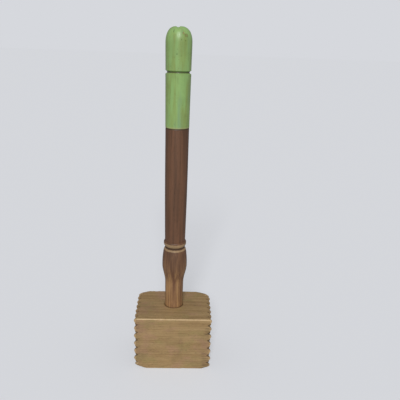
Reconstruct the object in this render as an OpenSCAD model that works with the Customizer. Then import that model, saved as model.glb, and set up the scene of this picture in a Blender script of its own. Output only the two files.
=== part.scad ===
// Wooden meat tenderizer: a toothed block head on a turned handle, standing on its side face.
// Sizes are in millimetres. The origin is the middle of the head's underside, x runs through
// the two striking faces, y from front to back, and z up the handle.

/* [Head] */
// Length of the head, from the tooth tips of one striking face to those of the other
head_l = 78; // [60:0.5:110]
// Depth of the head, from front to back
head_w = 57; // [44:0.5:80]
// Height of the head
head_h = 58; // [44:0.5:80]
// Radius worn on the four long edges
edge_r = 1.2; // [0.4:0.1:4]

/* [Teeth] */
// Distance from one tooth tip to the next
tooth_pitch = 8.65; // [6:0.05:14]
// Depth of the V grooves between the teeth
tooth_depth = 4.2; // [1.5:0.1:6]
// Width of the flat worn on each tooth tip
tip_flat = 0.7; // [0.2:0.1:2]
// How far the grid of teeth sits forward of the middle of the head
grid_forward = 1.2; // [0:0.1:2]
// How far the grid of teeth sits above the middle of the head
grid_up = 0.6; // [0:0.1:2]

/* [Joint] */
// How far the handle stands behind the middle of the head
handle_back = 2.5; // [0:0.5:6]
// Gap for glue around the tenon, on the radius
glue_gap = 0.05; // [0.02:0.01:0.2]
// Width of the bevel round the mouth of the bore
mouth_bevel = 1; // [0.3:0.1:2]
// Length of the wedge driven up into the tenon
wedge_l = 30; // [15:1:40]
// Thickness of the wedge at the underside of the head
wedge_t = 2.8; // [1.5:0.1:4]
// Thickness of the wedge at its thin end
wedge_tip_t = 0.8; // [0.4:0.1:1.4]

/* [Foot and bulb] */
// Diameter of the foot and of the tenon below it
foot_d = 18.3; // [14:0.1:22]
// Diameter at the top of the plain neck
neck_d = 19; // [16:0.1:23]
// Height of the plain neck above the head
neck_h = 26; // [15:0.5:32]
// Largest diameter of the bulb
bulb_d = 25.3; // [22:0.1:30]
// Height above the head at which the bulb is fattest
bulb_h = 46.5; // [38:0.5:54]
// Diameter of the shoulder above the bulb
shoulder_d = 22; // [20:0.1:26]
// Height of the shoulder above the head
shoulder_h = 63.7; // [58:0.1:70]

/* [Bead] */
// Width of the groove between the shoulder and the bead
bead_groove_w = 2.6; // [1.5:0.1:4]
// Diameter at the root of that groove
bead_groove_d = 19.2; // [16:0.1:20]
// Width of the bead along the handle
bead_w = 6; // [4:0.1:9]
// How far the bead stands out
bead_rise = 1.45; // [0.6:0.05:2.5]

/* [Shaft] */
// Length of the handle above the head
handle_l = 273.5; // [240:0.5:320]
// Diameter of the shaft just above the bead
shaft_low_d = 20.6; // [17:0.1:23]
// Diameter halfway up the shaft
shaft_mid_d = 22.2; // [18:0.1:25]
// Diameter of the shaft just below the grip
shaft_top_d = 23.4; // [20:0.1:26]

/* [Grip] */
// Distance from the middle of the grip groove to the top of the handle
grip_l = 38.7; // [30:0.1:60]
// Width of the grip groove
grip_groove_w = 3; // [1.5:0.1:6]
// Depth of the grip groove
grip_groove_depth = 1.5; // [0.5:0.1:2.5]
// Diameter of the grip at its waist, above the groove
grip_waist_d = 23.4; // [20:0.1:26]
// Diameter of the grip at its swell
grip_swell_d = 24; // [21:0.1:28]
// Height of the rounded end
dome_h = 10; // [6:0.5:14]
// Diameter of the flat left on top by the lathe centre
dome_flat_d = 5; // [2:0.5:10]
// Length of the painted part, from the top down
paint_l = 88.6; // [70:0.1:120]
// Width of the line scribed where the paint ends
line_w = 1; // [0.5:0.1:2]
// Depth of the scribed line
line_depth = 0.35; // [0.1:0.05:0.8]

/* [Hidden] */
$fn = 96;

bare_wood = [0.64, 0.51, 0.35];
stained_wood = [0.43, 0.29, 0.20];
green_paint = [0.57, 0.71, 0.45];
wedge_wood = [0.72, 0.60, 0.42];

// Teeth that fill the striking face each way
teeth_across = round(head_w / tooth_pitch);
teeth_up = round(head_h / tooth_pitch);
// Half the mouth of a groove, and how far its cutter stands out of the wood
groove_half = (tooth_pitch - tip_flat) / 2;
overrun = 2;
cutter_l = 2 * max(head_w, head_h);

bore_d = foot_d + 2 * glue_gap;
handle_top = head_h + handle_l;
bead_low = head_h + shoulder_h + bead_groove_w;
shaft_low = bead_low + bead_w;
grip_groove_z = handle_top - grip_l;
shaft_top = grip_groove_z - grip_groove_w / 2;
grip_low = grip_groove_z + grip_groove_w / 2;
dome_low = handle_top - dome_h;
paint_z = handle_top - paint_l;
// Points in each curve of the outline
curve_steps = 10;

function blend(a, b, t) = a + (b - a) * t;

// An S curve from radius r0 at height z0 to radius r1 at height z1, level at both ends
function s_curve(r0, z0, r1, z1) =
    [for (i = [0:curve_steps]) let (t = i / curve_steps)
        [blend(r0, r1, (1 - cos(180 * t)) / 2), blend(z0, z1, t)]];

// A curve that leaves radius r0 upright and falls away towards r1
function crown_curve(r0, z0, r1, z1) =
    [for (i = [1:curve_steps]) let (t = i / curve_steps)
        [blend(r0, r1, 1 - cos(90 * t)), blend(z0, z1, sin(90 * t) * 0.5 + t * 0.5)]];

// A bead between two radii, standing out by rise
function bead_curve(r0, z0, r1, z1, rise) =
    [for (i = [0:curve_steps]) let (t = i / curve_steps, e = (1 - cos(180 * t)) / 2)
        [blend(r0, r1, e) + rise * sin(180 * t), blend(z0, z1, e)]];

// Radius of the shaft at height z: nearly straight at mid length, opening towards the grip
// and drawn in towards the bead
shaft_mid = (shaft_low + shaft_top) / 2;
function shaft_radius(z) =
    let (u = 2 * (z - shaft_mid) / (shaft_top - shaft_low))
    (shaft_mid_d + (u > 0 ? shaft_top_d - shaft_mid_d : shaft_low_d - shaft_mid_d) * u * u) / 2;
function shaft_curve() =
    [for (i = [0:2 * curve_steps]) let (z = blend(shaft_low, shaft_top, i / (2 * curve_steps)))
        [shaft_radius(z), z]];

// The rounded end, a quarter of an ellipse round the flat on top
function dome_curve() =
    [for (i = [1:curve_steps]) let (a = 90 * i / curve_steps)
        [blend(dome_flat_d, grip_swell_d, cos(a)) / 2, dome_low + dome_h * sin(a)]];

handle_outline = concat(
    [[0, 0], [foot_d / 2, 0], [foot_d / 2, head_h]],
    s_curve(neck_d / 2, head_h + neck_h, bulb_d / 2, head_h + bulb_h),
    crown_curve(bulb_d / 2, head_h + bulb_h, shoulder_d / 2, head_h + shoulder_h),
    [[bead_groove_d / 2, bead_low - bead_groove_w / 2]],
    bead_curve(bead_groove_d / 2, bead_low, shaft_low_d / 2, shaft_low, bead_rise),
    shaft_curve(),
    [[shaft_top_d / 2 - grip_groove_depth, grip_groove_z]],
    s_curve(grip_waist_d / 2, grip_low, grip_swell_d / 2, dome_low),
    dome_curve(),
    [[0, handle_top]]
);

// The block before its teeth are cut, with its long edges rounded
module rounded_block() {
    flat_w = head_w - 2 * edge_r;
    flat_h = head_h - 2 * edge_r;
    rotate([90, 0, 90])
        linear_extrude(height = head_l, center = true)
            translate([0, head_h / 2]) {
                square([flat_w, head_h], center = true);
                square([head_w, flat_h], center = true);
                for (y = [-1, 1], z = [-1, 1])
                    translate([y * flat_w / 2, z * flat_h / 2]) circle(r = edge_r);
            }
}

// A V groove along y, its mouth on the plane x = 0 and its root towards the block
module v_groove() {
    mouth = groove_half * (1 + overrun / tooth_depth);
    rotate([90, 0, 0])
        linear_extrude(height = cutter_l, center = true)
            polygon([[-tooth_depth, 0], [overrun, mouth], [overrun, -mouth]]);
}

// The grooves of the striking face on the right, crossing to leave pyramids. The outermost
// groove each way only bevels the edge of the block.
module tooth_cuts() {
    translate([head_l / 2, -grid_forward, head_h / 2 + grid_up]) {
        for (i = [0:teeth_up])
            translate([0, 0, (i - teeth_up / 2) * tooth_pitch]) v_groove();
        for (i = [0:teeth_across])
            translate([0, (i - teeth_across / 2) * tooth_pitch, 0]) rotate([90, 0, 0]) v_groove();
    }
}

// The bore that the tenon passes through, bevelled at its upper mouth
module bore() {
    translate([0, handle_back, -overrun]) cylinder(d = bore_d, h = head_h + 2 * overrun);
    translate([0, handle_back, head_h - mouth_bevel])
        cylinder(d1 = bore_d, d2 = bore_d + 2 * (mouth_bevel + overrun), h = mouth_bevel + overrun);
}

// The wedge's taper, as a bar through the tenon from front to back
module wedge_bar() {
    translate([0, handle_back, 0])
        rotate([90, 0, 0])
            linear_extrude(height = 2 * foot_d, center = true)
                polygon([
                    [-wedge_t / 2, 0], [wedge_t / 2, 0],
                    [wedge_tip_t / 2, wedge_l], [-wedge_tip_t / 2, wedge_l]
                ]);
}

// The turned handle and its tenon, between two heights
module turning(low, high) {
    translate([0, handle_back, 0])
        rotate_extrude()
            intersection() {
                polygon(handle_outline);
                translate([0, low]) square([grip_swell_d + bulb_d, high - low]);
            }
}

// The V of the line scribed round the handle where the paint ends
module scribed_line() {
    r = shaft_radius(paint_z);
    slope = 2 * line_depth / line_w;
    translate([0, handle_back, paint_z])
        rotate_extrude()
            polygon([
                [r - line_depth, 0],
                [r + overrun, (line_depth + overrun) / slope],
                [r + overrun, -(line_depth + overrun) / slope]
            ]);
}

module head_block() {
    color(bare_wood)
        difference() {
            rounded_block();
            tooth_cuts();
            mirror([1, 0, 0]) tooth_cuts();
            bore();
        }
}

module handle() {
    color(stained_wood)
        difference() {
            turning(0, paint_z);
            wedge_bar();
            scribed_line();
        }
    color(green_paint)
        difference() {
            turning(paint_z, handle_top);
            scribed_line();
        }
}

module tenon_wedge() {
    color(wedge_wood)
        intersection() {
            wedge_bar();
            translate([0, handle_back, 0]) cylinder(d = foot_d, h = wedge_l);
        }
}

head_block();
handle();
tenon_wedge();
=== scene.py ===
"""Wooden meat tenderizer: a toothed block head on a turned, painted handle, dressed over its CAD frame."""

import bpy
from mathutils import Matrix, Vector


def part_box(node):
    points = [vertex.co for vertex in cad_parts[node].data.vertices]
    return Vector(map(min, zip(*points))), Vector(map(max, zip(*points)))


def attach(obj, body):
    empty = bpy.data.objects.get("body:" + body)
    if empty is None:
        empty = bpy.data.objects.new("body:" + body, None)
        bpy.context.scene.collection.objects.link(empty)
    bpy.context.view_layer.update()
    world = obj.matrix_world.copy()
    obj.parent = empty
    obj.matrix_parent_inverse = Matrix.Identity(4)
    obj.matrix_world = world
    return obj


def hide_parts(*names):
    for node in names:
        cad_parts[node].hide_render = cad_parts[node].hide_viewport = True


bl_info = {
    "name": "Wooden meat tenderizer",
    "version": (1, 0, 0),
    "blender": (4, 5, 0),
    "location": "3D View > Sidebar > Tenderizer",
    "description": "Models the toothed head, the turned handle, its wedge and a plain stage",
    "category": "Object",
}

import math
import random

import bpy
import numpy as np
from bpy.props import FloatProperty, FloatVectorProperty, IntProperty, PointerProperty
from mathutils import Matrix, Vector, noise

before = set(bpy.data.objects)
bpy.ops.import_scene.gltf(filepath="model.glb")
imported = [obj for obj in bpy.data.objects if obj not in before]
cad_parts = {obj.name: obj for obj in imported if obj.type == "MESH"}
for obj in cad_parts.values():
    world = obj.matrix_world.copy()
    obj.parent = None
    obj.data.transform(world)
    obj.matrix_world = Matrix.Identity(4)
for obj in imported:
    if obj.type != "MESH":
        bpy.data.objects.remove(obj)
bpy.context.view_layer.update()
HEAD_LOW, HEAD_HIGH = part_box("head_block")
HANDLE_LOW, HANDLE_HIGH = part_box("handle")
HANDLE_BACK = (HANDLE_LOW.y + HANDLE_HIGH.y) / 2
WEDGE_LOW, WEDGE_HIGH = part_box("tenon_wedge")
MM = 0.001


def tint(red, green, blue):
    """A colour given as 0 to 255 on screen, in the linear values that shaders use."""
    shares = [value / 255 for value in (red, green, blue)]
    return tuple(s / 12.92 if s <= 0.04045 else ((s + 0.055) / 1.055) ** 2.4 for s in shares)


def length(name, description, millimetres):
    """A size property in metres, from its usual value in millimetres."""
    return FloatProperty(name=name, description=description, default=millimetres * MM,
                         min=0.0, precision=5, subtype="DISTANCE", unit="LENGTH")


def colour(name, description, red, green, blue):
    """A colour property."""
    return FloatVectorProperty(name=name, description=description, default=tint(red, green, blue),
                               size=3, min=0.0, max=1.0, subtype="COLOR")


class HeadSizes(bpy.types.PropertyGroup):
    """Sizes of the block head, its teeth and its wear"""

    pitch: length("Tooth pitch", "Distance from one tooth tip to the next", 8.65)
    depth: length("Tooth depth", "Depth of the grooves between the teeth", 4.2)
    tip_flat: length("Tip flat", "Width of the flat left on a new tooth tip", 0.5)
    grid_forward: length("Grid forward", "How far the teeth sit forward of the middle", 1.2)
    grid_up: length("Grid up", "How far the teeth sit above the middle", 0.6)
    bore: length("Bore", "Diameter of the bore for the tenon", 18.4)
    mouth_bevel: length("Mouth bevel", "Width of the bevel round the mouth of the bore", 1.0)
    edge_wear: length("Edge wear", "Usual radius worn on the edges of the block", 1.1)
    tip_wear: length("Tip wear", "Greatest height worn from an ordinary tooth tip", 0.55)
    cuts: IntProperty(name="Cuts", description="Fine cuts between a ridge and the next groove",
                      default=7, min=2, max=9)


class HandleSizes(bpy.types.PropertyGroup):
    """Sizes of the turned handle, from the foot up"""

    foot: length("Foot", "Diameter of the foot and of the tenon below it", 18.3)
    neck: length("Neck", "Diameter at the top of the plain neck", 19.0)
    neck_up: length("Neck height", "Height of the plain neck above the head", 26.0)
    bulb: length("Bulb", "Largest diameter of the bulb", 25.3)
    bulb_up: length("Bulb height", "Height above the head at which the bulb is fattest", 46.5)
    shoulder: length("Shoulder", "Diameter of the shoulder above the bulb", 22.0)
    shoulder_up: length("Shoulder height", "Height of the shoulder above the head", 63.7)
    bead_groove: length("Bead groove", "Diameter at the root of the groove under the bead", 19.2)
    bead_groove_width: length("Bead groove width", "Width of the groove under the bead", 2.6)
    bead_width: length("Bead width", "Width of the bead along the handle", 6.0)
    bead_rise: length("Bead rise", "How far the bead stands out", 1.45)
    shaft_low: length("Shaft low", "Diameter of the shaft just above the bead", 20.6)
    shaft_mid: length("Shaft middle", "Diameter halfway up the shaft", 22.2)
    shaft_top: length("Shaft top", "Diameter of the shaft below the grip", 23.4)
    grip: length("Grip", "Distance from the grip groove to the top", 38.7)
    grip_groove_width: length("Grip groove width", "Width of the grip groove", 3.0)
    grip_groove_depth: length("Grip groove depth", "Depth of the grip groove", 1.5)
    grip_waist: length("Grip waist", "Diameter of the grip above its groove", 23.4)
    grip_swell: length("Grip swell", "Diameter of the grip at its swell", 24.0)
    dome: length("Dome", "Height of the rounded end", 13.0)
    dome_flat: length("Dome flat", "Diameter of the flat on top", 8.0)
    painted: length("Painted length", "Length of the painted part, from the top down", 88.6)
    line_width: length("Line width", "Width of the line scribed where the paint ends", 1.0)
    line_depth: length("Line depth", "Depth of the scribed line", 0.35)
    paint_skin: length("Paint skin", "Thickness of the paint", 0.12)
    wedge_thick: length("Wedge thickness", "Thickness of the wedge at the underside", 2.8)
    wedge_thin: length("Wedge tip", "Thickness of the wedge at its thin end", 0.8)
    steps: IntProperty(name="Steps", description="Facets round the handle", default=128, min=32, max=192)


class Finishes(bpy.types.PropertyGroup):
    """Colours of the woods and of the paint"""

    wood: colour("Bare wood", "Bare wood of the head", 170, 142, 99)
    wood_deep: colour("Deep bare wood", "Darker streaks of the head", 156, 127, 85)
    wood_rose: colour("Rosy wood", "Rosy patches of the head", 170, 134, 104)
    wood_olive: colour("Olive wood", "Olive patches of the head", 153, 135, 86)
    # Pale wood for rubbed edges and tips; also a painted highlight on the block's edges, on the top of the
    # bead and on the handle's shoulder.
    pale_wear_and_highlight: colour("Worn wood", "Bare wood rubbed pale on edges and tips", 203, 174, 130)
    # Dark colour for dirt in pores, specks and smudges, and for painted shade at the groove ends, round the
    # bore's rim, in the handle's grooves and at its foot.
    dirt_and_shade: colour("Darkening And Shade", "Old grime in grooves and pores", 62, 44, 27)
    stain: colour("Stain", "Brown stain on the shaft", 112, 77, 54)
    stain_deep: colour("Deep stain", "Darker streaks of the stain", 88, 60, 41)
    stain_worn: colour("Worn stain", "Stain worn thin towards the foot", 166, 128, 86)
    paint: colour("Paint", "Green enamel of the grip", 145, 181, 110)
    paint_olive: colour("Olive paint", "Green enamel yellowed by handling", 138, 160, 90)
    paint_grey: colour("Grey paint", "Green enamel greyed by dirt", 130, 162, 116)
    paint_knock: colour("Knocked paint", "Green enamel darkened in a knock", 70, 96, 32)
    wedge: colour("Wedge wood", "Wood of the wedge", 186, 156, 110)


class StageSettings(bpy.types.PropertyGroup):
    """Floor, light and camera"""

    floor: colour("Floor", "Colour of the floor", 243, 245, 250)
    bounce: colour("Bounce", "Colour of the light that the floor throws back", 179, 179, 182)
    behind: colour("Behind", "Colour seen beyond the floor", 214, 216, 221)
    world: FloatProperty(name="World light", description="Strength of the even light from all round",
                         default=0.30, min=0.0, max=2.0)
    key: FloatProperty(name="Key light", description="Strength of the lamp in front", default=2.41,
                       min=0.0, max=10.0)
    lens: FloatProperty(name="Lens", description="Focal length of the camera, in mm on a 36 mm sensor",
                        default=42.3256, min=10.0, max=200.0)


def start_clean():
    """Leaves edit mode and deselects everything."""
    if bpy.context.object and bpy.context.object.mode != "OBJECT":
        bpy.ops.object.mode_set(mode="OBJECT")
    bpy.ops.object.select_all(action="DESELECT")


def read_points(mesh):
    """The points of a mesh as an array."""
    flat = np.empty(len(mesh.vertices) * 3)
    mesh.vertices.foreach_get("co", flat)
    return flat.reshape(-1, 3)


def write_points(mesh, points):
    """Puts moved points back into a mesh."""
    mesh.vertices.foreach_set("co", points.ravel())
    mesh.update()


def write_mask(mesh, name, values):
    """Keeps one number for each point, for the materials to read."""
    layer = mesh.attributes.new(name, "FLOAT", "POINT")
    layer.data.foreach_set("value", np.clip(values, 0, 1).astype(np.float32))


def ease(values, low, high):
    """From 0 at low to 1 at high, level at both ends."""
    share = np.clip((values - low) / (high - low), 0, 1)
    return share * share * (3 - 2 * share)


def soft_max(first, second, round_off):
    """The greater of two heights, with the corner between them rounded off."""
    return 0.5 * (first + second + np.sqrt((first - second) ** 2 + round_off ** 2))


def lumps(points, size, seed):
    """Smooth noise from -1 to 1 at each point, in lumps of about that size."""
    shift = Vector((seed * 3.71, seed * 1.93, seed * 5.37))
    return np.array([noise.noise(Vector(p) / size + shift) for p in points])


def cut_with(piece, cutter):
    """Cuts one piece with another, which is then thrown away."""
    start_clean()
    bpy.context.view_layer.objects.active = piece
    piece.select_set(True)
    cut = piece.modifiers.new("cut", "BOOLEAN")
    cut.operation = "DIFFERENCE"
    cut.solver = "EXACT"
    cut.object = cutter
    bpy.ops.object.modifier_apply(modifier=cut.name)
    bpy.data.objects.remove(cutter, do_unlink=True)


def finish_piece(piece, material, crease, slot, *nodes):
    """Shades a piece, gives it its material and puts it on the frame in place of its CAD nodes."""
    start_clean()
    bpy.context.view_layer.objects.active = piece
    piece.select_set(True)
    bpy.ops.object.shade_smooth_by_angle(angle=crease)
    piece.data.materials.clear()
    piece.data.materials.append(material)
    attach(piece, "root")
    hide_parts(*nodes)
    start_clean()


# The head

SHARP_CREASE = math.radians(52)
# Reach of the teeth's stretch along the sides of the block
TOOTH_REACH = 10 * MM
# Cells along the block between one striking face and the other
LONG_CELLS = 18
LONG_CUTS = 3
OVERRUN = 4 * MM
BORE_FACETS = 96
# Heights of the two torn stretches of the front, beside the right-hand teeth
TORN_LOW = 10 * MM
TORN_HIGH = 46 * MM
# Nicks along the edges of the block, and dents in its sides
NICKS = 46
DENTS = 80
# Radius worn on each corner, by its side in x, y and z
CORNER_WEAR = {
    (-1, -1, -1): 6.3 * MM, (1, -1, -1): 4.6 * MM, (-1, 1, -1): 5.2 * MM, (1, 1, -1): 4.4 * MM,
    (-1, -1, 1): 1.7 * MM, (1, -1, 1): 2.2 * MM, (-1, 1, 1): 6.2 * MM, (1, 1, 1): 7.2 * MM,
}


def tooth_lines(low, high, middle, pitch):
    """Places of the ridges and grooves that cross the block between two of its faces."""
    count = math.ceil((high - low) / pitch) + 1
    places = [middle + step * pitch / 2 for step in range(-2 * count, 2 * count + 1)]
    return [place for place in places if low + 0.3 * MM < place < high - 0.3 * MM]


def block_of_cells(sizes):
    """A box the size of the head, cut along every ridge and groove and then into fine cells."""
    start_clean()
    bpy.ops.mesh.primitive_cube_add(size=1, location=(HEAD_LOW + HEAD_HIGH) / 2)
    block = bpy.context.object
    block.name = "toothed_head"
    block.scale = HEAD_HIGH - HEAD_LOW
    bpy.ops.object.transform_apply(location=True, rotation=True, scale=True)
    middle_up = (HEAD_LOW.z + HEAD_HIGH.z) / 2 + sizes.grid_up
    along = HEAD_HIGH.x - HEAD_LOW.x
    lines = [
        ((1, 0, 0), [HEAD_LOW.x + along * i / LONG_CELLS for i in range(1, LONG_CELLS)]),
        ((0, 1, 0), tooth_lines(HEAD_LOW.y, HEAD_HIGH.y, -sizes.grid_forward, sizes.pitch)),
        ((0, 0, 1), tooth_lines(HEAD_LOW.z, HEAD_HIGH.z, middle_up, sizes.pitch)),
    ]
    bpy.ops.object.mode_set(mode="EDIT")
    for normal, places in lines:
        for place in places:
            bpy.ops.mesh.select_all(action="SELECT")
            bpy.ops.mesh.bisect(plane_co=Vector(normal) * place, plane_no=normal)
    subdivide_edges(block, lambda run: run.x > 0.9, LONG_CUTS)
    subdivide_edges(block, lambda run: run.x < 0.1, sizes.cuts)
    bpy.ops.object.mode_set(mode="OBJECT")
    return block


def subdivide_edges(block, wanted, cuts):
    """Subdivides the edges whose direction is wanted."""
    bpy.ops.mesh.select_mode(type="EDGE")
    bpy.ops.mesh.select_all(action="DESELECT")
    bpy.ops.object.mode_set(mode="OBJECT")
    mesh = block.data
    points = read_points(mesh)
    ends = np.array([edge_wear_and_highlight.vertices[:] for edge_wear_and_highlight in mesh.edges])
    runs = np.abs(points[ends[:, 1]] - points[ends[:, 0]])
    runs /= np.linalg.norm(runs, axis=1)[:, None]
    mesh.edges.foreach_set("select", [wanted(Vector(run)) for run in runs])
    bpy.ops.object.mode_set(mode="EDIT")
    bpy.ops.mesh.subdivide(number_cuts=cuts, smoothness=0)


def bore_cutter(sizes):
    """The bore's cutter: a long cylinder whose upper end is drawn out to the bevel."""
    top = HEAD_HIGH.z
    start_clean()
    bpy.ops.mesh.primitive_cylinder_add(
        vertices=BORE_FACETS, radius=sizes.bore / 2, depth=top - sizes.mouth_bevel + OVERRUN,
        location=(0, HANDLE_BACK, (top - sizes.mouth_bevel - OVERRUN) / 2))
    cutter = bpy.context.object
    bpy.ops.object.mode_set(mode="EDIT")
    bpy.ops.mesh.select_mode(type="FACE")
    bpy.ops.mesh.select_all(action="DESELECT")
    bpy.ops.object.mode_set(mode="OBJECT")
    for face in cutter.data.polygons:
        face.select = face.normal.z > 0.9
    bpy.ops.object.mode_set(mode="EDIT")
    rise = sizes.mouth_bevel + OVERRUN
    bpy.ops.mesh.extrude_region_move(TRANSFORM_OT_translate={"value": (0, 0, rise)})
    wide = (sizes.bore / 2 + rise) / (sizes.bore / 2)
    bpy.ops.transform.resize(value=(wide, wide, 1), center_override=(0, HANDLE_BACK, top))
    bpy.ops.object.mode_set(mode="OBJECT")
    return cutter


def from_ridge(places, middle, pitch):
    """Distance from the nearest ridge, and that ridge's number."""
    number = np.round((places - middle) / pitch)
    return np.abs(places - middle - number * pitch), number.astype(int)


def tooth_hollow(points, sizes):
    """How far below its tips the striking face lies at each point, teeth worn one by one."""
    dice = random.Random(41)
    middle_up = (HEAD_LOW.z + HEAD_HIGH.z) / 2 + sizes.grid_up
    off_y, row_y = from_ridge(points[:, 1], -sizes.grid_forward, sizes.pitch)
    off_z, row_z = from_ridge(points[:, 2], middle_up, sizes.pitch)
    flat = sizes.tip_flat / 2
    slope = sizes.depth / (sizes.pitch / 2 - flat)
    down_y = np.maximum(off_y - flat, 0) * slope
    down_z = np.maximum(off_z - flat, 0) * slope
    hollow = soft_max(down_y, down_z, 0.45 * MM) - 0.2 * MM
    worn = {}
    for side in (-1, 1):
        for row in range(-6, 7):
            for level in range(-6, 7):
                amount = 0.08 * MM + sizes.tip_wear * dice.random() ** 2
                if dice.random() < 0.12:
                    amount += 0.6 * MM * dice.random()
                worn[side, row, level] = amount
    sides = np.where(points[:, 0] < 0, -1, 1)
    tips = np.array([worn[key] for key in zip(sides.tolist(), row_y.tolist(), row_z.tolist())])
    tips += 0.12 * MM * lumps(points, 1.6 * MM, 3)
    return np.clip(soft_max(hollow, np.maximum(tips, 0), 0.25 * MM), 0, sizes.depth)


def worn_radius(points, sizes):
    """Radius worn on the block near each point: slight on edges, nicked in places, great at corners."""
    radius = sizes.edge_wear * (1 + 0.28 * lumps(points, 11 * MM, 5) + 0.16 * lumps(points, 3 * MM, 6))
    dice = random.Random(12)
    low, high = np.array(HEAD_LOW), np.array(HEAD_HIGH)
    for _ in range(NICKS):
        spot = low + (high - low) * np.array([dice.random() for _ in range(3)])
        along = dice.randrange(3)
        for axis in range(3):
            if axis != along:
                spot[axis] = dice.choice([low[axis], high[axis]])
        reach = (1.2 + 2.4 * dice.random()) * MM
        near = np.linalg.norm(points - spot, axis=1)
        radius += (0.35 + 0.9 * dice.random()) * MM * (1 - ease(near, 0, reach))
    for sides, worn in CORNER_WEAR.items():
        corner = np.where(np.array(sides) > 0, high, low)
        near = np.linalg.norm(points - corner, axis=1)
        share = 1 - ease(near, 0.25 * worn, 2.3 * worn)
        radius = np.maximum(radius, radius + (worn - radius) * share)
    return radius


def rub_down(points, radius):
    """Rounds the block off to a radius that varies from place to place."""
    low = np.array(HEAD_LOW) + radius[:, None]
    high = np.array(HEAD_HIGH) - radius[:, None]
    core = np.clip(points, low, high)
    out = points - core
    far = np.linalg.norm(out, axis=1)
    share = np.where(far > radius, radius / np.maximum(far, 1e-9), 1)
    return core + out * share[:, None]


def press_dents(points, start, inward, dice, count):
    """Presses small dents into the sides of the block."""
    low, high = np.array(HEAD_LOW), np.array(HEAD_HIGH)
    for _ in range(count):
        spot = low + (high - low) * np.array([dice.random() for _ in range(3)])
        axis = dice.choice([1, 1, 2])
        spot[axis] = dice.choice([low[axis], high[axis]])
        reach = (0.8 + 2.2 * dice.random() ** 2) * MM
        near = np.linalg.norm((start - spot) * np.array([0.7, 1, 1]), axis=1)
        points += inward * ((1 - ease(near, 0, reach)) * (0.08 + 0.2 * dice.random()) * MM)[:, None]


def shape_head(sizes):
    """The block with its bore, teeth, worn edges and dents, and the masks its wood reads."""
    block = block_of_cells(sizes)
    cut_with(block, bore_cutter(sizes))
    mesh = block.data
    start = read_points(mesh)
    low, high = np.array(HEAD_LOW), np.array(HEAD_HIGH)
    from_axis = np.hypot(start[:, 0], start[:, 1] - HANDLE_BACK)
    outside = ease(from_axis, sizes.bore / 2 + sizes.mouth_bevel + 0.1 * MM, sizes.bore / 2 + 5 * MM)
    touching = (np.abs(start - low) < 1e-6) | (np.abs(start - high) < 1e-6)
    side = np.where(start > (low + high) / 2, 1, -1)
    inward = -(touching * side).astype(float)
    inward /= np.maximum(np.linalg.norm(inward, axis=1), 1)[:, None]
    inward[:, 0] = 0

    hollow = tooth_hollow(start, sizes)
    stretch = np.clip((np.abs(start[:, 0]) - (high[0] - TOOTH_REACH)) / TOOTH_REACH, 0, 1)
    points = start.copy()
    points[:, 0] -= side[:, 0] * hollow * stretch
    radius = worn_radius(start, sizes)
    points = rub_down(points, radius)
    wave = 0.5 + 0.5 * lumps(start, 17 * MM, 8)
    points += inward * (wave * 0.16 * MM * outside)[:, None]
    press_dents(points, start, inward * outside[:, None], random.Random(7), DENTS)
    write_points(mesh, points)

    on_end = touching[:, 0]
    spread = np.sort(np.minimum(start - low, high - start), axis=1)
    # Pale rims along the block's edges: partly wood rubbed pale, partly a painted highlight on the ridges.
    edge_wear_and_highlight = 1 - ease(spread[:, 1], 0.5 * MM, 1.7 * MM)
    tips = np.where(on_end, 1 - ease(hollow, 0.3 * MM, 1.5 * MM), 0)
    corner = ease(radius, 2.2 * MM, 5 * MM) * (1 - ease(spread[:, 1], 2 * MM, 5 * MM))
    # Darker in the grooves between the teeth. The darkening of the groove ends on the block's sides and round
    # the bore's rim is painted shade.
    grooves = np.where(on_end, ease(hollow, 1.9 * MM, 4.0 * MM), 0)
    notch_shade = ease(hollow, 2.2 * MM, 3.9 * MM) * ease(stretch, 0.45, 1) * np.where(on_end, 0, 0.45)
    mouth_shade = 0.5 * (1 - ease(from_axis, sizes.bore / 2 + 0.2 * MM, sizes.bore / 2 + 1.4 * MM)) * touching[:, 2]
    long_edge = 1 - ease(np.minimum(start[:, 0] - low[0], high[0] - start[:, 0]), 0.8 * MM, 3 * MM)
    edge_wear_and_highlight *= 1 - np.maximum(0.75 * grooves, 0.7 * long_edge * ease(hollow, 0.8 * MM, 2.6 * MM))
    # The worn mask holds rubbed edges, tips and corners, and the painted highlight along the edges.
    write_mask(mesh, "worn", np.maximum(np.maximum(edge_wear_and_highlight, tips), corner * 0.8))
    write_mask(mesh, "shade_and_darkening", np.maximum(np.maximum(grooves, notch_shade), mouth_shade))
    write_mask(mesh, "end_grain", on_end.astype(float))
    write_mask(mesh, "torn", torn_places(start))
    return block


def torn_places(points):
    """Where the cutter tore the front of the block beside the right-hand teeth."""
    front = points[:, 1] < HEAD_LOW.y + 1e-6
    from_end = HEAD_HIGH.x - points[:, 0]
    off_low = np.abs(points[:, 2] - TORN_LOW)
    off_high = np.abs(points[:, 2] - TORN_HIGH)
    lower = (1 - ease(from_end, 6 * MM, 12 * MM)) * (1 - ease(off_low, 7 * MM, 12 * MM))
    upper = (1 - ease(from_end, 4 * MM, 8 * MM)) * (1 - ease(off_high, 5 * MM, 9 * MM))
    left = 0.5 * (1 - ease(points[:, 0] - HEAD_LOW.x, 3 * MM, 7 * MM))
    return np.where(front, np.maximum(np.maximum(lower, upper), left), 0)


# The handle

GRIP_CREASE = math.radians(38)
# Points of the shaft's outline below and above the scribed line
STAINED_STEPS = 128
PAINTED_STEPS = 60
HANDLE_DENTS = 60


def blend(first, second, share):
    """Between two values."""
    return first + (second - first) * share


def level_ends(share):
    """A share that starts and ends slowly."""
    return (1 - math.cos(math.pi * share)) / 2


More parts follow.
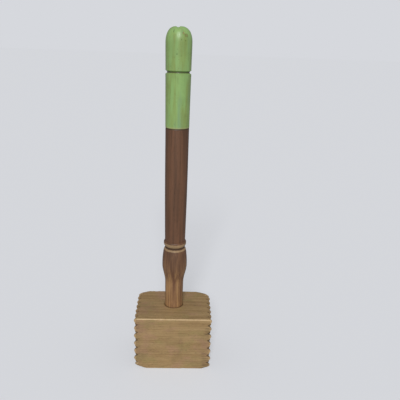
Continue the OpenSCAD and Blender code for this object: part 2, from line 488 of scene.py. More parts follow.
def handle_outline(sizes):
    """The turned outline, as points of radius and height from the bottom of the tenon to the top."""
    head = HEAD_HIGH.z
    top = HANDLE_HIGH.z
    bulb = head + sizes.bulb_up
    neck = head + sizes.neck_up
    shoulder = head + sizes.shoulder_up
    bead = shoulder + sizes.bead_groove_width
    shaft = bead + sizes.bead_width
    root = bead - sizes.bead_groove_width / 2
    groove = top - sizes.grip
    half_groove = sizes.grip_groove_width / 2
    dome = top - sizes.dome
    foot, neck_r, bulb_r = sizes.foot / 2, sizes.neck / 2, sizes.bulb / 2
    shoulder_r, root_r = sizes.shoulder / 2, sizes.bead_groove / 2
    low_r, mid_r, top_r = sizes.shaft_low / 2, sizes.shaft_mid / 2, sizes.shaft_top / 2
    waist_r, swell_r, flat_r = sizes.grip_waist / 2, sizes.grip_swell / 2, sizes.dome_flat / 2
    grip = groove + half_groove
    shaft_top = groove - half_groove

    outline = [(0, 0), (foot * 0.5, 0), (foot - 0.3 * MM, 0), (foot, 0.3 * MM)]
    outline += [(foot, head * share) for share in (0.1, 0.25, 0.5, 0.75, 0.9, 1)]
    outline += run(lambda t: (blend(foot, neck_r, t), blend(head, neck, t)), 32)
    outline += run(lambda t: (blend(neck_r, bulb_r, level_ends(t)), blend(neck, bulb, t)), 26)
    outline += run(lambda t: (blend(bulb_r, shoulder_r, 1 - math.cos(math.pi / 2 * t)),
                              blend(bulb, shoulder, (math.sin(math.pi / 2 * t) + t) / 2)), 22)
    outline += run(lambda t: (blend(shoulder_r, root_r, t), blend(shoulder, root, t)), 4)
    outline += run(lambda t: (root_r, blend(root, bead, t)), 3)
    outline += run(lambda t: bead_point(root_r, bead, low_r, shaft, sizes.bead_rise, t), 18)
    outline += shaft_points(sizes, shaft, shaft_top)
    outline += run(lambda t: (top_r - sizes.grip_groove_depth * math.sin(math.pi * t) ** 0.75,
                              blend(shaft_top, grip, t)), 12)
    outline += run(lambda t: (blend(waist_r, swell_r, level_ends(t)), blend(grip, dome, t)), 34)
    outline += run(lambda t: (blend(flat_r, swell_r, math.cos(math.pi / 2 * t)),
                              dome + sizes.dome * math.sin(math.pi / 2 * t)), 30)
    outline += run(lambda t: (blend(flat_r, 0, t), top), 4)
    return outline


def run(curve, count):
    """Points along a curve, without its first one."""
    return [curve(step / count) for step in range(1, count + 1)]


def bead_point(low_r, low_z, high_r, high_z, rise, share):
    """A point of the bead between two radii."""
    eased = level_ends(share)
    return blend(low_r, high_r, eased) + rise * math.sin(math.pi * share), blend(low_z, high_z, eased)


def shaft_radius(sizes, height, low, high):
    """Radius of the shaft at a height: straight at mid length, opening to the grip, drawn in to the bead."""
    share = 2 * (height - (low + high) / 2) / (high - low)
    end = sizes.shaft_top if share > 0 else sizes.shaft_low
    return (sizes.shaft_mid + (end - sizes.shaft_mid) * share * share) / 2


def shaft_points(sizes, low, high):
    """The long shaft, with the line scribed where the paint ends."""
    line = HANDLE_HIGH.z - sizes.painted
    half = sizes.line_width / 2
    below = line - half - low
    above = high - line - half
    heights = [low + below * t / STAINED_STEPS for t in range(1, STAINED_STEPS)]
    heights += [line + half * t for t in (-1, -0.5, 0, 0.5, 1)]
    heights += [line + half + above * t / PAINTED_STEPS for t in range(1, PAINTED_STEPS + 1)]
    points = []
    for height in heights:
        sunk = sizes.line_depth * max(0, 1 - abs(height - line) / half)
        points.append((shaft_radius(sizes, height, low, high) - sunk, height))
    return points


def turn(name, outline, back, steps):
    """Draws an outline as a chain of edges and spins it round the handle's axis."""
    start_clean()
    bpy.ops.mesh.primitive_plane_add(size=1 * MM, location=(0, 0, 0))
    piece = bpy.context.object
    piece.name = name
    bpy.ops.object.mode_set(mode="EDIT")
    bpy.ops.mesh.select_mode(type="VERT")
    bpy.ops.mesh.select_all(action="SELECT")
    bpy.ops.mesh.merge(type="CENTER")
    bpy.ops.transform.translate(value=(outline[0][0], back, outline[0][1]))
    for before, after in zip(outline, outline[1:]):
        step = (after[0] - before[0], 0, after[1] - before[1])
        bpy.ops.mesh.extrude_region_move(TRANSFORM_OT_translate={"value": step})
    bpy.ops.mesh.select_all(action="SELECT")
    bpy.ops.mesh.spin(steps=steps, angle=2 * math.pi, center=(0, back, 0), axis=(0, 0, 1))
    bpy.ops.mesh.select_all(action="SELECT")
    bpy.ops.mesh.remove_doubles(threshold=0.00001)
    bpy.ops.mesh.normals_make_consistent(inside=False)
    bpy.ops.object.mode_set(mode="OBJECT")
    return piece


# Marks in the paint: turn from the front in degrees, height below the top, half width, half height and depth
# in millimetres, and how bare the wood is in it
PAINT_MARKS = [
    (-29, 4.4, 0.7, 1.3, 0.45, 0.0), (23, 5.9, 0.9, 1.0, 0.35, 0.6), (36, 7.6, 2.0, 1.6, 0.14, 0.5),
    (12, 11.3, 0.6, 0.9, 0.20, 0.0), (30, 11.8, 0.5, 0.7, 0.15, 0.0), (-7, 23.2, 0.6, 0.9, 0.18, 0.0),
    (10, 24.0, 0.28, 3.2, 0.14, 0.1), (150, 6.0, 2.0, 1.4, 0.30, 1.0), (-118, 9.0, 1.3, 1.9, 0.25, 0.8),
    (98, 20.0, 0.8, 1.2, 0.20, 0.2), (-160, 34.0, 1.0, 0.9, 0.20, 0.9), (70, 41.5, 0.9, 0.6, 0.25, 0.4),
    (-95, 52.0, 0.6, 1.6, 0.15, 0.0), (128, 63.0, 0.8, 1.1, 0.20, 0.9), (170, 86.9, 1.8, 0.8, 0.15, 1.0),
]


def shape_handle(sizes):
    """The turned handle with its paint edge, chips, spur mark and wedge slot, and the masks it reads."""
    piece = turn("turned_handle", handle_outline(sizes), HANDLE_BACK, sizes.steps)
    cut_with(piece, slot_cutter(sizes))
    mesh = piece.data
    start = read_points(mesh)
    top = HANDLE_HIGH.z
    paint_edge = top - sizes.painted
    centred = start - np.array([0, HANDLE_BACK, 0])
    radius = np.hypot(centred[:, 0], centred[:, 1])
    around = np.arctan2(centred[:, 0], -centred[:, 1])
    outward = np.where(radius[:, None] > 1e-7, centred / np.maximum(radius, 1e-7)[:, None], 0)
    outward[:, 2] = 0
    height = start[:, 2]
    ring = np.column_stack([np.sin(around) * 3 * MM, np.cos(around) * 3 * MM, height * 0])

    above = ease(height, HEAD_HIGH.z + 1 * MM, HEAD_HIGH.z + 8 * MM)
    edge_line = paint_edge + 0.22 * MM * lumps(ring, 1.6 * MM, 21)
    painted = ease(height, edge_line, edge_line + 0.25 * MM)
    sink = (1 - painted) * sizes.paint_skin
    sink += 0.05 * MM * (1 + np.sin(2 * around + height * 31))
    sink += 0.06 * MM * (1 + lumps(start * np.array([1, 1, 0.25]), 7 * MM, 22))
    dice = random.Random(5)
    dent = np.zeros(len(start))
    for _ in range(HANDLE_DENTS):
        turned = dice.uniform(-math.pi, math.pi)
        level = dice.uniform(HEAD_HIGH.z + 10 * MM, top - 12 * MM)
        reach = (0.7 + 1.8 * dice.random() ** 2) * MM
        across = np.abs((around - turned + math.pi) % (2 * math.pi) - math.pi) * radius
        near = np.hypot(across, (height - level) * 0.7)
        dent += (1 - ease(near, 0, reach)) * (0.05 + 0.14 * dice.random()) * MM
    chipped = np.zeros(len(start))
    knocked = np.zeros(len(start))
    ragged = lumps(start, 0.9 * MM, 23)
    for turned, below, wide, tall, deep, bare in PAINT_MARKS:
        across = np.abs((around - math.radians(turned) + math.pi) % (2 * math.pi) - math.pi) * radius
        near = np.hypot(across / (wide * MM), (height - top + below * MM) / (tall * MM)) + 0.35 * ragged
        share = 1 - ease(near, 0.75, 1.25)
        chipped = np.maximum(chipped, share * bare)
        knocked = np.maximum(knocked, share)
        dent += share * deep * MM
    points = start - outward * ((sink + dent) * above)[:, None]
    points[:, 2] -= spur_mark(centred, top)
    write_points(mesh, points)

    # Darker bands: painted shade in the groove under the bead, in the grip groove and at the foot against the
    # head; the band at the scribed line is its dark filling.
    groove_low = HEAD_HIGH.z + sizes.shoulder_up + sizes.bead_groove_width / 2
    in_bead = 1 - ease(np.abs(height - groove_low - 0.5 * MM), 0.5 * MM, 1.2 * MM)
    in_grip = 1 - ease(np.abs(height - top + sizes.grip), 0.2 * MM, 1.1 * MM)
    in_line = 1 - ease(np.abs(height - paint_edge + 0.35 * MM), 0.55 * MM, 0.95 * MM)
    in_foot = 0.6 * (1 - ease(height, HEAD_HIGH.z, HEAD_HIGH.z + 1.0 * MM))
    # Paler bands on the top of the bead and on the shoulder: partly wood rubbed pale, partly a painted
    # highlight.
    bead_crown = groove_low + sizes.bead_groove_width / 2 + sizes.bead_width * 0.42
    crown_wear_and_highlight = 1 - ease(np.abs(height - bead_crown), 0.9 * MM, 2.6 * MM)
    shoulder = 1 - ease(np.abs(height - HEAD_HIGH.z - sizes.shoulder_up), 0.3 * MM, 1.6 * MM)
    shade_and_darkening = np.maximum(np.maximum(in_bead, in_grip), np.maximum(in_line, in_foot))
    write_mask(mesh, "painted", ease(height, edge_line - 0.05 * MM, edge_line + 0.12 * MM))
    write_mask(mesh, "chipped", chipped)
    write_mask(mesh, "knocked", knocked)
    write_mask(mesh, "shade_and_darkening", shade_and_darkening)
    # The worn mask here is rubbed wood and painted highlight.
    write_mask(mesh, "worn", np.maximum(crown_wear_and_highlight, shoulder * 0.8))
    return piece


def spur_mark(centred, top):
    """Depth of the cross that the lathe's spur centre bit into the top of the handle."""
    level = ease(centred[:, 2], top - 4 * MM, top - 0.5 * MM)
    arms = np.zeros(len(centred))
    for turned in (math.radians(4), math.radians(94)):
        across = centred[:, 0] * math.cos(turned) + centred[:, 1] * math.sin(turned)
        arms = np.maximum(arms, 1 - ease(np.abs(across + 1.1 * MM), 0.4 * MM, 2.2 * MM))
    uneven = 0.18 * MM * (1 + lumps(centred, 3 * MM, 29))
    return (arms * 0.75 * MM + uneven) * level


def slot_cutter(sizes):
    """A tapered bar that cuts the slot for the wedge through the tenon from front to back."""
    start_clean()
    low = WEDGE_LOW.z - OVERRUN
    tall = WEDGE_HIGH.z - low
    taper = (sizes.wedge_thick - sizes.wedge_thin) / (WEDGE_HIGH.z - WEDGE_LOW.z)
    thick = sizes.wedge_thin + taper * tall
    bpy.ops.mesh.primitive_cube_add(size=1, location=(0, HANDLE_BACK, low + tall / 2),
                                    scale=(thick, 2 * sizes.foot, tall))
    cutter = bpy.context.object
    for face in cutter.data.polygons:
        face.select = face.normal.z > 0.9
    bpy.ops.object.mode_set(mode="EDIT")
    bpy.ops.mesh.select_mode(type="FACE")
    thin = sizes.wedge_thin / thick
    bpy.ops.transform.resize(value=(thin, 1, 1), center_override=(0, HANDLE_BACK, WEDGE_HIGH.z))
    bpy.ops.object.mode_set(mode="OBJECT")
    return cutter


# Shader building

# Turns object coordinates from metres to millimetres
IN_MM = (1000, 1000, 1000)


class Wires:
    """Places shader nodes in one tree and joins them."""

    def __init__(self, tree):
        self.tree = tree

    def node(self, kind, inputs=None, **settings):
        """A node with its settings and inputs, each a value or a socket to join."""
        made = self.tree.nodes.new("ShaderNode" + kind)
        for name, value in settings.items():
            setattr(made, name, value)
        for name, value in (inputs or {}).items():
            self.feed(made.inputs[name], value)
        return made

    def feed(self, socket, value):
        """Joins a socket to another, or gives it a value."""
        if isinstance(value, bpy.types.NodeSocket):
            self.tree.links.new(value, socket)
        else:
            socket.default_value = value

    def sum(self, operation, first, second=0.0, clamp=False):
        """A Math node's result."""
        made = self.node("Math", {0: first, 1: second}, operation=operation, use_clamp=clamp)
        return made.outputs[0]

    def vector(self, operation, first, second):
        """A Vector Math node's result."""
        return self.node("VectorMath", {0: first, 1: second}, operation=operation).outputs["Vector"]

    def range(self, value, low, high, start=0.0, end=1.0):
        """Maps low to high onto start to end, smoothly and held at both ends."""
        inputs = {"Value": value, "From Min": low, "From Max": high, "To Min": start, "To Max": end}
        return self.node("MapRange", inputs, interpolation_type="SMOOTHSTEP").outputs["Result"]

    def mix(self, share, first, second, kind="MIX"):
        """A mix of two colours."""
        inputs = {0: share, 6: rgba(first), 7: rgba(second)}
        return self.node("Mix", inputs, data_type="RGBA", blend_type=kind).outputs[2]

    def noise(self, vector, detail=2.0, roughness=0.5, distortion=0.0, colour=False):
        """Noise on a vector, as one number or as a colour."""
        inputs = {"Vector": vector, "Scale": 1.0, "Detail": detail, "Roughness": roughness,
                  "Distortion": distortion}
        return self.node("TexNoise", inputs).outputs["Color" if colour else "Fac"]

    def cells(self, vector):
        """Distance to the nearest point of a scatter."""
        inputs = {"Vector": vector, "Scale": 1.0, "Randomness": 1.0}
        return self.node("TexVoronoi", inputs, feature="F1").outputs["Distance"]

    def mask(self, name):
        """One of the masks kept on the mesh."""
        return self.node("Attribute", attribute_type="GEOMETRY", attribute_name=name).outputs["Fac"]

    def parts(self, vector):
        """The x, y and z of a vector."""
        return self.node("SeparateXYZ", {0: vector}).outputs

    def group(self, tree, inputs):
        """A shared effect placed in this tree."""
        made = self.tree.nodes.new("ShaderNodeGroup")
        made.node_tree = tree
        for name, value in inputs.items():
            self.feed(made.inputs[name], value)
        return made.outputs


def rgba(value):
    """A colour with its fourth number, or a socket as it is."""
    if isinstance(value, bpy.types.NodeSocket):
        return value
    return (*tuple(value)[:3], 1.0)


def new_group(name, inputs, outputs):
    """An empty shared effect, with the wires to build it and its two ends."""
    tree = bpy.data.node_groups.new(name, "ShaderNodeTree")
    for label, kind, value in inputs:
        socket = tree.interface.new_socket(label, in_out="INPUT", socket_type="NodeSocket" + kind)
        if value is not None:
            socket.default_value = value
    for label in outputs:
        tree.interface.new_socket(label, in_out="OUTPUT", socket_type="NodeSocketFloat")
    entry = tree.nodes.new("NodeGroupInput")
    end = tree.nodes.new("NodeGroupOutput")
    return tree, Wires(tree), entry.outputs, end.inputs


def shared(name, build):
    """A shared effect, built the first time that a material asks for it."""
    return bpy.data.node_groups.get(name) or build(name)


def build_timber(name):
    """Growth rings, fibres, pores and slow streaks of solid timber whose grain runs along x."""
    tree, wires, entry, end = new_group(
        name,
        [("Vector", "Vector", None), ("Ring Width", "Float", 2.2), ("Wander", "Float", 5.0)],
        ["Rings", "Ring Tone", "Fibres", "Streaks", "Pores", "Flecks"])
    place = wires.vector("MULTIPLY", entry["Vector"], IN_MM)
    wander = wires.noise(wires.vector("MULTIPLY", place, (0.010, 0.035, 0.035)), detail=2, colour=True)
    wander = wires.vector("SUBTRACT", wander, (0.5, 0.5, 0.5))
    shift = wires.node("VectorMath", {0: wander, "Scale": entry["Wander"]}, operation="SCALE")
    moved = wires.parts(wires.vector("ADD", place, shift.outputs["Vector"]))
    away = wires.sum("SQRT", wires.sum("ADD", wires.sum("MULTIPLY", moved[1], moved[1]),
                                       wires.sum("MULTIPLY", moved[2], moved[2])))
    count = wires.sum("DIVIDE", away, entry["Ring Width"])
    part = wires.sum("FRACT", count)
    late = wires.sum("MULTIPLY", wires.sum("POWER", part, 3.0), wires.range(part, 1.0, 0.9))
    wires.feed(end["Rings"], late)
    tone = wires.node("TexWhiteNoise", {"W": wires.sum("FLOOR", count)}, noise_dimensions="1D")
    wires.feed(end["Ring Tone"], tone.outputs["Value"])
    wires.feed(end["Fibres"], wires.noise(wires.vector("MULTIPLY", place, (0.07, 2.3, 2.3)), 3, 0.6))
    wires.feed(end["Streaks"], wires.noise(wires.vector("MULTIPLY", place, (0.014, 0.36, 0.36)), 3, 0.55))
    fine = wires.noise(wires.vector("MULTIPLY", place, (0.30, 4.2, 4.2)), 1, 0.4)
    wires.feed(end["Pores"], wires.range(fine, 0.66, 0.74))
    fleck = wires.noise(wires.vector("MULTIPLY", place, (0.42, 0.55, 3.1)), 1, 0.4)
    wires.feed(end["Flecks"], wires.range(fleck, 0.64, 0.74))
    return tree


def build_handling(name):
    """Breaks up the masks of rubbed edges with their painted highlight and of darkening with its painted
    shade, and adds smudges all over.
    """
    tree, wires, entry, end = new_group(
        name,
        [("Vector", "Vector", None), ("Wear And Highlight", "Float", 0.0), ("Dark And Shaded", "Float", 0.0)],
        ["Wear And Highlight", "Darkening And Shade", "Smudges", "Specks"])
    place = wires.vector("MULTIPLY", entry["Vector"], IN_MM)
    ragged = wires.noise(wires.vector("MULTIPLY", place, (0.55, 0.55, 0.55)), 4, 0.65)
    fine = wires.noise(wires.vector("MULTIPLY", place, (1.7, 1.7, 1.7)), 3, 0.6)
    broken = wires.sum("SUBTRACT", wires.sum("ADD", entry["Wear And Highlight"], wires.sum("MULTIPLY", ragged, 0.9)), 0.45)
    wires.feed(end["Wear And Highlight"], wires.range(broken, 0.25, 0.85))
    darkened_and_shaded = wires.sum("SUBTRACT", wires.sum("ADD", entry["Dark And Shaded"], wires.sum("MULTIPLY", fine, 0.7)), 0.35)
    wires.feed(end["Darkening And Shade"], wires.range(darkened_and_shaded, 0.15, 0.95))
    smear = wires.noise(wires.vector("MULTIPLY", place, (0.05, 0.05, 0.05)), 4, 0.6, distortion=0.6)
    wires.feed(end["Smudges"], wires.range(smear, 0.42, 0.72))
    dots = wires.cells(wires.vector("MULTIPLY", place, (0.24, 0.24, 0.24)))
    wires.feed(end["Specks"], wires.range(dots, 0.11, 0.05))
    return tree


def build_knocks(name):
    """Height of small knocks, dings and scratches."""
    tree, wires, entry, end = new_group(name, [("Vector", "Vector", None)], ["Height"])
    place = wires.vector("MULTIPLY", entry["Vector"], IN_MM)
    ding = wires.range(wires.cells(wires.vector("MULTIPLY", place, (0.13, 0.13, 0.13))), 0.16, 0.0)
    turned = wires.node("Mapping", {"Vector": place, "Rotation": (0.5, 0.35, 0.8), "Scale": (0.05, 1.6, 1.6)})
    scratch = wires.range(wires.noise(turned.outputs["Vector"], 1, 0.4), 0.70, 0.76)
    other = wires.node("Mapping", {"Vector": place, "Rotation": (-0.7, 0.9, -0.4), "Scale": (0.07, 1.9, 1.9)})
    scratch_too = wires.range(wires.noise(other.outputs["Vector"], 1, 0.4), 0.71, 0.77)
    both = wires.sum("MAXIMUM", scratch, scratch_too)
    wires.feed(end["Height"], wires.sum("ADD", ding, wires.sum("MULTIPLY", both, 0.35)))
    return tree


def new_material(name):
    """A material with its shader, its wires and object coordinates."""
    made = bpy.data.materials.new(name)
    made.use_nodes = True
    made.node_tree.nodes.clear()
    wires = Wires(made.node_tree)
    shader = wires.node("BsdfPrincipled")
    wires.node("OutputMaterial", {"Surface": shader.outputs["BSDF"]})
    place = wires.node("TexCoord").outputs["Object"]
    return made, wires, shader, place


def bump(wires, height, distance, normal=None):
    """A Bump node's normal, for a relief of that height in metres."""
    inputs = {"Height": height, "Distance": distance, "Strength": 1.0}
    if normal is not None:
        inputs["Normal"] = normal
    return wires.node("Bump", inputs).outputs["Normal"]


def head_wood(finish):
    """Old bare hardwood: grain along the block, rosy and olive patches, darkened grooves with painted shade
    at their ends, edges rubbed pale and lit with a painted highlight.
    """
    made, wires, shader, place = new_material("head_wood")
    grain_at = wires.node("Mapping", {"Vector": place, "Location": (0.0, 0.037, 0.062),
                                      "Rotation": (0.0, 0.021, 0.034)}).outputs["Vector"]
    grain = wires.group(shared("timber", build_timber),
                        {"Vector": grain_at, "Ring Width": 2.6, "Wander": 7.0})
    touch = wires.group(shared("handling", build_handling),
                        {"Vector": place, "Wear And Highlight": wires.mask("worn"), "Dark And Shaded": wires.mask("shade_and_darkening")})
    knocks = wires.group(shared("knocks", build_knocks), {"Vector": place})["Height"]
    place_mm = wires.vector("MULTIPLY", place, IN_MM)
    patches = wires.node("SeparateColor", {0: wires.noise(
        wires.vector("MULTIPLY", place_mm, (0.050, 0.070, 0.070)), 3, 0.6, colour=True)}).outputs

    streak = wires.range(grain["Streaks"], 0.32, 0.70)
    base = wires.mix(streak, finish.wood, finish.wood_deep)
    base = wires.mix(wires.range(patches[0], 0.48, 0.66, 0.0, 0.65), base, finish.wood_rose)
    base = wires.mix(wires.range(patches[1], 0.50, 0.68, 0.0, 0.60), base, finish.wood_olive)
    base = wires.mix(wires.sum("MULTIPLY", grain["Rings"], 0.20), base, finish.wood_deep, "MULTIPLY")
    base = wires.mix(wires.range(grain["Ring Tone"], 0.0, 1.0, 0.0, 0.09), base, finish.wood_deep, "MULTIPLY")
    base = wires.mix(wires.range(grain["Fibres"], 0.45, 0.75, 0.0, 0.22), base, finish.wood_deep, "MULTIPLY")
    pores = wires.sum("MAXIMUM", grain["Pores"], wires.sum("MULTIPLY", grain["Flecks"], 0.6))
    base = wires.mix(wires.sum("MULTIPLY", pores, 0.30), base, finish.dirt_and_shade)
    end_dark = wires.sum("MULTIPLY", wires.mask("end_grain"), 0.30)
    base = wires.mix(end_dark, base, finish.wood_deep, "MULTIPLY")
    base = wires.mix(wires.sum("MULTIPLY", touch["Smudges"], 0.16), base, finish.dirt_and_shade)
    base = wires.mix(wires.sum("MULTIPLY", touch["Specks"], 0.35), base, finish.dirt_and_shade)
    # Darker in the grooves, with painted shade at the groove ends and round the bore's rim; paler where the
    # wood is rubbed, with a painted highlight along the edges.
    base = wires.mix(wires.sum("MULTIPLY", touch["Darkening And Shade"], 0.72), base, finish.dirt_and_shade)
    base = wires.mix(wires.sum("MULTIPLY", touch["Wear And Highlight"], 0.70), base, finish.pale_wear_and_highlight)
    comb = wires.noise(wires.vector("MULTIPLY", place_mm, (0.045, 0.6, 0.95)), 2, 0.5)
    torn = wires.sum("MULTIPLY", wires.range(comb, 0.50, 0.64), wires.mask("torn"))
    base = wires.mix(wires.sum("MULTIPLY", torn, 0.45), base, finish.dirt_and_shade)
    wires.feed(shader.inputs["Base Color"], base)

    rough = wires.range(grain["Fibres"], 0.3, 0.7, 0.58, 0.72)
    rough = wires.sum("SUBTRACT", rough, wires.sum("MULTIPLY", touch["Wear And Highlight"], 0.12))
    wires.feed(shader.inputs["Roughness"], rough)
    height = wires.sum("MULTIPLY", grain["Fibres"], 0.55)
    height = wires.sum("ADD", height, wires.sum("MULTIPLY", grain["Rings"], -0.25))
    height = wires.sum("SUBTRACT", height, wires.sum("MULTIPLY", pores, 0.5))
    height = wires.sum("SUBTRACT", height, wires.sum("MULTIPLY", torn, 1.3))
    height = wires.sum("SUBTRACT", height, wires.sum("MULTIPLY", knocks, 0.8))
    wires.feed(shader.inputs["Normal"], bump(wires, height, 0.16 * MM))
    return made


# Height above the head over which the stain is worn thin
STAIN_FADE = 0.085


def handle_finish(finish, paint_edge, head_top):
    """Brown stain worn thin towards the foot, and chipped green enamel on the grip."""
    made, wires, shader, place = new_material("handle_finish")
    grain_at = wires.node("Mapping", {"Vector": place, "Location": (0.004, 0.006, 0.0),
                                      "Rotation": (0.0, math.radians(90), 0.0)}).outputs["Vector"]
    grain = wires.group(shared("timber", build_timber),
                        {"Vector": grain_at, "Ring Width": 1.9, "Wander": 3.0})
    touch = wires.group(shared("handling", build_handling),
                        {"Vector": place, "Wear And Highlight": wires.mask("worn"), "Dark And Shaded": wires.mask("shade_and_darkening")})
    knocks = wires.group(shared("knocks", build_knocks), {"Vector": place})["Height"]
    place_mm = wires.vector("MULTIPLY", place, IN_MM)
    height_mm = wires.parts(place_mm)[2]

    thin = wires.range(height_mm, (head_top + STAIN_FADE) / MM, head_top / MM)
    ragged = wires.noise(wires.vector("MULTIPLY", place_mm, (0.30, 0.30, 0.035)), 3, 0.6)
    bare = wires.sum("ADD", thin, wires.sum("MULTIPLY", wires.sum("SUBTRACT", ragged, 0.5), 0.75), clamp=True)
    streak = wires.range(grain["Streaks"], 0.34, 0.68)
    stain = wires.mix(streak, finish.stain, finish.stain_deep)
    stain = wires.mix(wires.range(grain["Fibres"], 0.45, 0.75, 0.0, 0.35), stain, finish.stain_deep)
    rubbed = wires.mix(streak, finish.stain_worn, finish.stain)
    rubbed = wires.mix(wires.range(grain["Fibres"], 0.5, 0.8, 0.0, 0.35), rubbed, finish.stain)
    wood = wires.mix(wires.range(bare, 0.1, 0.95), stain, rubbed)
    wood = wires.mix(wires.sum("MULTIPLY", grain["Pores"], 0.45), wood, finish.dirt_and_shade)
    # Paler on the top of the bead and on the shoulder: rubbed wood and painted highlight.
    wood = wires.mix(wires.sum("MULTIPLY", touch["Wear And Highlight"], 0.45), wood, finish.pale_wear_and_highlight)

    tone = wires.node("SeparateColor", {0: wires.noise(
        wires.vector("MULTIPLY", place_mm, (0.16, 0.16, 0.022)), 3, 0.55, colour=True)}).outputs
    paint = wires.mix(wires.range(tone[0], 0.42, 0.66), finish.paint, finish.paint_olive)
    paint = wires.mix(wires.range(tone[1], 0.48, 0.70, 0.0, 0.8), paint, finish.paint_grey)
    brushed = wires.noise(wires.vector("MULTIPLY", place_mm, (1.5, 1.5, 0.06)), 2, 0.5)
    paint = wires.mix(wires.range(brushed, 0.52, 0.78, 0.0, 0.30), paint, finish.paint_olive, "MULTIPLY")
    paint = wires.mix(wires.sum("MULTIPLY", touch["Specks"], 0.45), paint, finish.dirt_and_shade)
    chipped = wires.mask("chipped")
    knocked = wires.mask("knocked")
    paint = wires.mix(wires.range(knocked, 0.3, 0.9, 0.0, 0.55), paint, finish.paint_knock)
    under = wires.mix(streak, finish.wood, finish.stain_worn)
    paint = wires.mix(wires.range(chipped, 0.35, 0.75), paint, under)

    covered = wires.mask("painted")
    base = wires.mix(covered, wood, paint)
    lip = wires.sum("MULTIPLY", wires.range(height_mm, paint_edge / MM + 2.2, paint_edge / MM + 0.8), covered)
    base = wires.mix(wires.sum("MULTIPLY", lip, 0.30), base, finish.pale_wear_and_highlight)
    base = wires.mix(wires.sum("MULTIPLY", touch["Smudges"], 0.14), base, finish.dirt_and_shade)
    # Darker in the grooves and at the foot, which is painted shade, and in the scribed line, which is its
    # dark filling.
    base = wires.mix(wires.sum("MULTIPLY", touch["Darkening And Shade"], 0.80), base, finish.dirt_and_shade)
    wires.feed(shader.inputs["Base Color"], base)

    rough_wood = wires.range(grain["Fibres"], 0.3, 0.7, 0.46, 0.62)
    rough_paint = wires.range(brushed, 0.35, 0.7, 0.30, 0.44)
    rough = wires.node("Mix", {0: covered, 2: rough_wood, 3: rough_paint}, data_type="FLOAT").outputs[0]
    rough = wires.sum("ADD", rough, wires.sum("MULTIPLY", touch["Smudges"], 0.10))
    rough = wires.sum("ADD", rough, wires.sum("MULTIPLY", wires.sum("MULTIPLY", chipped, covered), 0.25))
    wires.feed(shader.inputs["Roughness"], rough)
    relief_wood = wires.sum("SUBTRACT", wires.sum("MULTIPLY", grain["Fibres"], 0.6),
                            wires.sum("MULTIPLY", grain["Pores"], 0.8))
    relief_paint = wires.sum("ADD", wires.sum("MULTIPLY", brushed, 0.35),
                             wires.sum("MULTIPLY", grain["Fibres"], 0.15))
    relief = wires.node("Mix", {0: covered, 2: relief_wood, 3: relief_paint}, data_type="FLOAT").outputs[0]
    relief = wires.sum("SUBTRACT", relief, wires.sum("MULTIPLY", knocks, 0.7))
    wires.feed(shader.inputs["Normal"], bump(wires, relief, 0.10 * MM))
    return made


def wedge_wood(finish):
    """Pale wood of the wedge, its grain running up the handle."""
    made, wires, shader, place = new_material("wedge_wood")
    grain_at = wires.node("Mapping", {"Vector": place, "Location": (0.0, 0.02, 0.01),
                                      "Rotation": (0.0, math.radians(90), 0.2)}).outputs["Vector"]
    grain = wires.group(shared("timber", build_timber),
                        {"Vector": grain_at, "Ring Width": 1.4, "Wander": 2.0})
    base = wires.mix(wires.range(grain["Streaks"], 0.3, 0.7), finish.wedge, finish.wood_deep)
    base = wires.mix(wires.sum("MULTIPLY", grain["Rings"], 0.4), base, finish.wood_deep, "MULTIPLY")
    base = wires.mix(wires.sum("MULTIPLY", grain["Pores"], 0.5), base, finish.dirt_and_shade)
    wires.feed(shader.inputs["Base Color"], base)
    wires.feed(shader.inputs["Roughness"], wires.range(grain["Fibres"], 0.3, 0.7, 0.62, 0.76))
    wires.feed(shader.inputs["Normal"], bump(wires, grain["Fibres"], 0.10 * MM))
    return made


def floor_paint(settings):
    """Plain pale floor, which throws back less light than it shows."""
    made = bpy.data.materials.new("floor_paint")
    made.use_nodes = True
    made.node_tree.nodes.clear()
    wires = Wires(made.node_tree)
    lit = wires.node("BsdfDiffuse", {"Color": rgba(settings.floor)}).outputs[0]
    even = wires.node("Emission", {"Color": rgba(settings.behind), "Strength": 1.0}).outputs[0]
    dim = wires.node("BsdfDiffuse", {"Color": rgba(settings.bounce)}).outputs[0]
    seen = wires.node("MixShader", {0: FLOOR_EVENNESS, 1: lit, 2: even}).outputs[0]
    camera_ray = wires.node("LightPath").outputs["Is Camera Ray"]
    both = wires.node("MixShader", {0: camera_ray, 1: dim, 2: seen}).outputs[0]
    wires.node("OutputMaterial", {"Surface": both})
    return made


# The stage

CAMERA_PLACE = (0.00557431, -0.43412053, 0.31519699)
CAMERA_DOWN = math.radians(18.056)
CAMERA_ROLL = math.radians(2.107)
CAMERA_TURN = math.radians(-2.363)
SENSOR_WIDTH = 36
FLOOR_SIZE = 40.0
# Share of the floor's look that shadows don't darken
FLOOR_EVENNESS = 0.5
KEY_PLACE = (-0.12, -2.0, 1.35)
KEY_SPREAD = math.radians(16)


def set_camera(settings):
    """The camera, standing where the photograph was taken."""
    bpy.ops.object.camera_add(location=CAMERA_PLACE)
    camera = bpy.context.object
    camera.name = "camera"
    turned = Matrix.Rotation(CAMERA_TURN, 4, "Z")
    tipped = Matrix.Rotation(math.radians(90) - CAMERA_DOWN, 4, "X")
    rolled = Matrix.Rotation(CAMERA_ROLL, 4, "Z")
    camera.matrix_world = Matrix.Translation(CAMERA_PLACE) @ turned @ tipped @ rolled
    camera.data.sensor_width = SENSOR_WIDTH
    camera.data.lens = settings.lens
    camera.data.clip_start = 0.01
    camera.data.clip_end = 50
    bpy.context.scene.camera = camera


def set_floor(settings):
    """A wide floor under the head."""
    bpy.ops.mesh.primitive_plane_add(size=FLOOR_SIZE, location=(0, 0, 0))
    floor = bpy.context.object
    floor.name = "floor"
    floor.data.materials.append(floor_paint(settings))


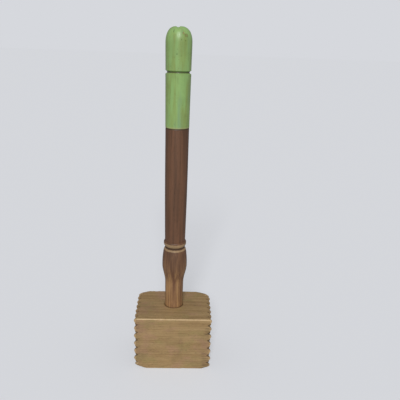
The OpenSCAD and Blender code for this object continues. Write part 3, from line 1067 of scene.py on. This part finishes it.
def set_light(settings):
    """One soft lamp in front and an even light from all round."""
    bpy.ops.object.light_add(type="SUN", location=KEY_PLACE)
    key = bpy.context.object
    key.name = "key_light"
    key.data.angle = KEY_SPREAD
    key.data.energy = settings.key
    key.rotation_euler = (-Vector(KEY_PLACE)).to_track_quat("-Z", "Y").to_euler()
    world = bpy.data.worlds.new("studio")
    world.use_nodes = True
    world.node_tree.nodes.clear()
    wires = Wires(world.node_tree)
    seen = wires.node("Background", {"Color": rgba(settings.behind), "Strength": 1.0})
    light = wires.node("Background", {"Color": (1, 1, 1, 1), "Strength": settings.world})
    rays = wires.node("LightPath").outputs
    direct = wires.sum("MAXIMUM", rays["Is Camera Ray"], rays["Is Transmission Ray"])
    mixed = wires.node("MixShader", {0: direct, 1: light.outputs[0], 2: seen.outputs[0]})
    wires.node("OutputWorld", {"Surface": mixed.outputs[0]})
    bpy.context.scene.world = world


class MakeHead(bpy.types.Operator):
    """Model the toothed head over its CAD block"""

    bl_idname = "tenderizer.make_head"
    bl_label = "Make the toothed head"

    def execute(self, context):
        head = shape_head(context.scene.tenderizer_head)
        wood = head_wood(context.scene.tenderizer_finish)
        finish_piece(head, wood, SHARP_CREASE, "head_wood", "head_block")
        return {"FINISHED"}


class MakeHandle(bpy.types.Operator):
    """Model the turned handle with its stain and paint"""

    bl_idname = "tenderizer.make_handle"
    bl_label = "Make the turned handle"

    def execute(self, context):
        sizes = context.scene.tenderizer_handle
        handle = shape_handle(sizes)
        finish = handle_finish(context.scene.tenderizer_finish, HANDLE_HIGH.z - sizes.painted, HEAD_HIGH.z)
        finish_piece(handle, finish, GRIP_CREASE, "handle_finish", "handle")
        return {"FINISHED"}


class DressWedge(bpy.types.Operator):
    """Give the tenon's wedge its wood"""

    bl_idname = "tenderizer.dress_wedge"
    bl_label = "Dress the wedge"

    def execute(self, context):
        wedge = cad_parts["tenon_wedge"]
        wedge.data.materials.clear()
        wedge.data.materials.append(wedge_wood(context.scene.tenderizer_finish))
        return {"FINISHED"}


class SetStage(bpy.types.Operator):
    """Place the floor, the light and the camera"""

    bl_idname = "tenderizer.set_stage"
    bl_label = "Set the stage"

    def execute(self, context):
        start_clean()
        settings = context.scene.tenderizer_stage
        set_floor(settings)
        set_light(settings)
        set_camera(settings)
        context.scene.view_settings.view_transform = "Standard"
        return {"FINISHED"}


class SidebarPanel(bpy.types.Panel):
    """Lists the pieces, their sizes and their finishes"""

    bl_idname = "VIEW3D_PT_tenderizer"
    bl_label = "Meat tenderizer"
    bl_space_type = "VIEW_3D"
    bl_region_type = "UI"
    bl_category = "Tenderizer"

    def draw(self, context):
        layout = self.layout
        for operator in (MakeHead, MakeHandle, DressWedge, SetStage):
            layout.operator(operator.bl_idname)
        for group in SETTINGS:
            box = layout.box()
            box.label(text=group.replace("_", " ").capitalize())
            values = getattr(context.scene, group)
            for name in values.bl_rna.properties.keys():
                if name not in ("rna_type", "name"):
                    box.prop(values, name)


SETTINGS = {
    "tenderizer_head": HeadSizes,
    "tenderizer_handle": HandleSizes,
    "tenderizer_finish": Finishes,
    "tenderizer_stage": StageSettings,
}
CLASSES = (*SETTINGS.values(), MakeHead, MakeHandle, DressWedge, SetStage, SidebarPanel)


def register():
    """Adds the classes and the settings to Blender."""
    for each in CLASSES:
        bpy.utils.register_class(each)
    for name, kind in SETTINGS.items():
        setattr(bpy.types.Scene, name, PointerProperty(type=kind))


def unregister():
    """Takes them away again."""
    for name in SETTINGS:
        delattr(bpy.types.Scene, name)
    for each in reversed(CLASSES):
        bpy.utils.unregister_class(each)


def main():
    """Builds the dressed tenderizer."""
    register()
    bpy.ops.tenderizer.make_head()
    bpy.ops.tenderizer.make_handle()
    bpy.ops.tenderizer.dress_wedge()
    bpy.ops.tenderizer.set_stage()
    bpy.context.view_layer.update()


if __name__ == "__main__":
    main()
